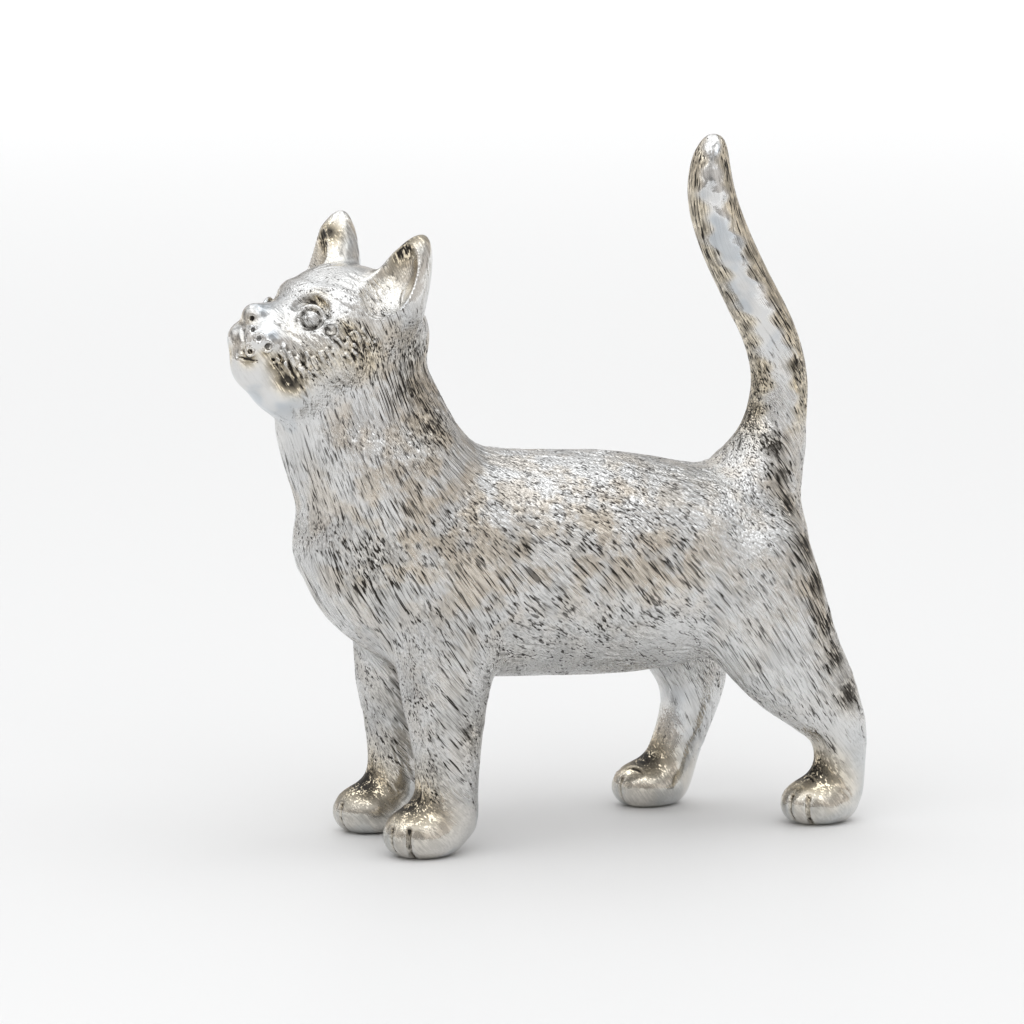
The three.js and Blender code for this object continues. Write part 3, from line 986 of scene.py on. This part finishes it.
def plating():
    """Bright plating over engraved fur, darkened in its grooves with tarnish and painted shade, darkened
    low on the body with painted shade, tinted in broad patches, and given a painted warm reflection in
    places.
    """
    material = bpy.data.materials.new("plating")
    material.use_nodes = True
    nodes = Nodes(material.node_tree)
    shader = material.node_tree.nodes["Principled BSDF"]
    shader.inputs["Metallic"].default_value = 1.0
    place = material.node_tree.nodes.new("ShaderNodeTexCoord").outputs["Object"]
    thick = nodes.attribute("thick", "Fac")
    # Patina in the engraving, painted shade in the hollows and low on the body.
    groove = nodes.attribute("patina_and_shade", "Fac")
    fur = nodes.scaled(nodes.attribute("fur", "Vector"), HAIR_STRETCH)

    hairs = nodes.noise(fur, HAIRS, 1.0)
    locks = nodes.math("MULTIPLY_ADD", thick, 0.27, nodes.noise(fur, HAIRS * 0.3, 1.0))
    locks = nodes.math("MULTIPLY", nodes.ramp(locks, 0.62, 0.7), nodes.ramp(thick, 0.0, 0.3))
    lines = nodes.math("MULTIPLY", nodes.ramp(hairs, 0.53, 0.6), locks)
    down = nodes.ramp(nodes.noise(fur, HAIRS * 1.5, 0.0), 0.52, 0.62)
    down = nodes.math("MULTIPLY", down, nodes.ramp(thick, 0.0, 0.5, 0.05, 0.25))
    # Dark marks: partly real tarnish, partly painted shade in creases.
    marks_shade = nodes.attribute("marks_shade", "Fac")
    speckle = nodes.noise(place, SPECKLES, 3.0, 0.6)
    mottle = nodes.math("MULTIPLY_ADD", speckle, 0.5, nodes.math("MULTIPLY", hairs, 0.5))
    mottle = nodes.math("MULTIPLY_ADD", marks_shade, 0.1, mottle)
    blotch = nodes.math("MULTIPLY", nodes.ramp(mottle, 0.47, 0.55), marks_shade)
    patches = nodes.noise(place, PATCHES, 3.0)
    dark = nodes.math("MULTIPLY_ADD", lines, 0.66, groove)
    dark = nodes.math("ADD", nodes.math("ADD", dark, down), blotch)
    dark = nodes.math("ADD", dark, nodes.ramp(patches, 0.35, 0.75, -0.08, 0.15), clamp=True)

    warmth = nodes.ramp(nodes.noise(place, WARM_PATCHES, 3.0), 0.42, 0.62)
    warmth = nodes.math("MULTIPLY", warmth, nodes.ramp(thick, 0.3, 1.0, 0.1, 0.9))
    coolness = nodes.ramp(nodes.noise(place, COOL_PATCHES, 2.0), 0.47, 0.58)
    coolness = nodes.math("MULTIPLY", coolness, nodes.ramp(thick, 0.05, 0.4, 0.8, 0.0))
    metal = nodes.mix(warmth, nodes.mix(coolness, PLATING, COOL), WARM)
    # Painted golden reflection.
    warm_sheen = nodes.math("MULTIPLY", nodes.attribute("warm_sheen", "Fac"), 1.6, clamp=True)
    metal = nodes.mix(warm_sheen, metal, PAINTED_WARM_SHEEN)
    nodes.feed(shader, {"Base Color": nodes.mix(dark, metal, PATINA_AND_SHADE_DARK)})
    polish = nodes.ramp(thick, 0.05, 0.5, 0.13, 0.27)
    nodes.feed(shader, {"Roughness": nodes.ramp(dark, 0.0, 1.0, polish, 0.5)})

    height = nodes.math("SUBTRACT", 1.0, hairs)
    height = nodes.math("MULTIPLY", height, nodes.ramp(thick, 0.0, 0.6, 0.1, 1.0))
    normal = nodes.bump(height, HAIR_RELIEF)
    waves = nodes.noise(place, WAVES, 1.0)
    waves = nodes.math("MULTIPLY", waves, nodes.ramp(thick, 0.1, 0.5, 1.0, 0.0))
    normal = nodes.bump(waves, WAVE_RELIEF, 1.0, normal)
    grain = nodes.noise(place, GRAIN)
    nodes.feed(shader, {"Normal": nodes.bump(grain, GRAIN_RELIEF, 0.5, normal)})
    return material


# ---- Ground and light ----------------------------------------------------------------------------------
GROUND_HALF = 6.0
PAPER = (0.775, 0.774, 0.773, 1)
ROOM = (0.66, 0.63, 0.60, 1)
CEILING = (1.36, 1.38, 1.40, 1)
SOFTBOX = {"at": (-0.1, -0.1, 0.6), "size": 1.0, "power": 1.6}  # metres and watts


def make_ground():
    """A wide sheet of pale paper, which glows a little further off, where a real one curves up."""
    mesh = bpy.data.meshes.new("ground")
    corners = [(x * GROUND_HALF, y * GROUND_HALF, 0) for x, y in ((-1, -1), (1, -1), (1, 1), (-1, 1))]
    mesh.from_pydata(corners, [], [(0, 1, 2, 3)])
    ground = bpy.data.objects.new("ground", mesh)
    bpy.context.scene.collection.objects.link(ground)
    material = bpy.data.materials.new("paper")
    material.use_nodes = True
    nodes = Nodes(material.node_tree)
    paper = material.node_tree.nodes["Principled BSDF"]
    paper.inputs["Base Color"].default_value = PAPER
    paper.inputs["Roughness"].default_value = 0.6
    paper.inputs["Emission Color"].default_value = (1, 1, 1, 1)
    away = material.node_tree.nodes.new("ShaderNodeVectorMath")
    away.operation = "LENGTH"
    nodes.feed(away, {0: material.node_tree.nodes.new("ShaderNodeTexCoord").outputs["Object"]})
    # Painted light: the paper glows more the further it lies from the figure.
    nodes.feed(paper, {"Emission Strength": nodes.ramp(away.outputs["Value"], 0.15, 1.4, 0.0, 0.5)})
    mesh.materials.append(material)


def make_softbox():
    data = bpy.data.lights.new("softbox", "AREA")
    data.size = SOFTBOX["size"]
    data.energy = SOFTBOX["power"]
    light = bpy.data.objects.new("softbox", data)
    light.location = SOFTBOX["at"]
    light.rotation_euler = (-Vector(SOFTBOX["at"])).to_track_quat("-Z", "Y").to_euler()
    bpy.context.scene.collection.objects.link(light)


def make_world():
    """A cool bright ceiling over a dim warm room, uneven as a real one is."""
    world = bpy.data.worlds.new("studio")
    world.use_nodes = True
    bpy.context.scene.world = world
    nodes = Nodes(world.node_tree)
    back = world.node_tree.nodes["Background"]
    toward = world.node_tree.nodes.new("ShaderNodeTexCoord").outputs["Generated"]
    split = world.node_tree.nodes.new("ShaderNodeSeparateXYZ")
    nodes.feed(split, {0: toward})
    sky = nodes.mix(nodes.ramp(split.outputs["Z"], 0.25, 0.75), ROOM, CEILING)
    uneven = nodes.ramp(nodes.noise(toward, 2.6, 2.0), 0.36, 0.6, 0.45, 1.2)
    nodes.feed(back, {"Color": sky, "Strength": uneven})


# ---- Build ---------------------------------------------------------------------------------------------
make_camera()
SKIN, SKIN_LOW = grow_skin()
FIELD = finer(SKIN)
FIELD_LOW = SKIN_LOW * 2
shape_head()
for leg_node in LEGS:
    shape_paw(leg_node)
FIELD[:, :, : -FIELD_LOW[2]] = REACH

skin_points, skin_quads = quads_of(FIELD, FIELD_LOW, FINE)
skin_points = skin_points.astype(float)
skin_normals = normals_of(skin_points, skin_quads)
if np.sum(skin_normals[:, 2] * skin_points[:, 2]) < 0:
    skin_normals = -skin_normals
fur_way, fur_thick, fur_place = comb(skin_points)
skin_points += skin_normals * raise_clumps(skin_points, skin_normals, fur_way, fur_thick)[:, None]
hollow = np.einsum("ij,ij->i", relaxed(skin_points, skin_quads, 8) - skin_points, skin_normals)
# Patina and painted shade in the hollows, and painted shade low on the body.
skin_patina_shade = PATINA_SHADE_MOST * smoothstep(*PATINA_SHADE_FROM, hollow) + low_shade_face_darkening(skin_points)
fur_thick = np.clip(fur_thick + 0.5 * tail_edges(skin_points, skin_normals), 0, 1)
# Dark marks, partly painted shade and stronger in the hollows, and the painted golden reflection.
hollow_gain = MARK_HOLLOW_GAIN[0] + MARK_HOLLOW_GAIN[1] * hollow
skin_marks_shade, skin_warm_sheen = (np.clip(s * hollow_gain, 0, 1) for s in marks_shade_and_sheen(skin_points, skin_normals))
skin_finish = {
    "patina_and_shade": skin_patina_shade,
    "marks_shade": skin_marks_shade,
    "warm_sheen": skin_warm_sheen,
    "thick": fur_thick,
    "fur": fur_place,
}
make_pieces(plating())
make_ground()
make_world()
make_softbox()
bpy.context.scene.view_settings.view_transform = "Standard"
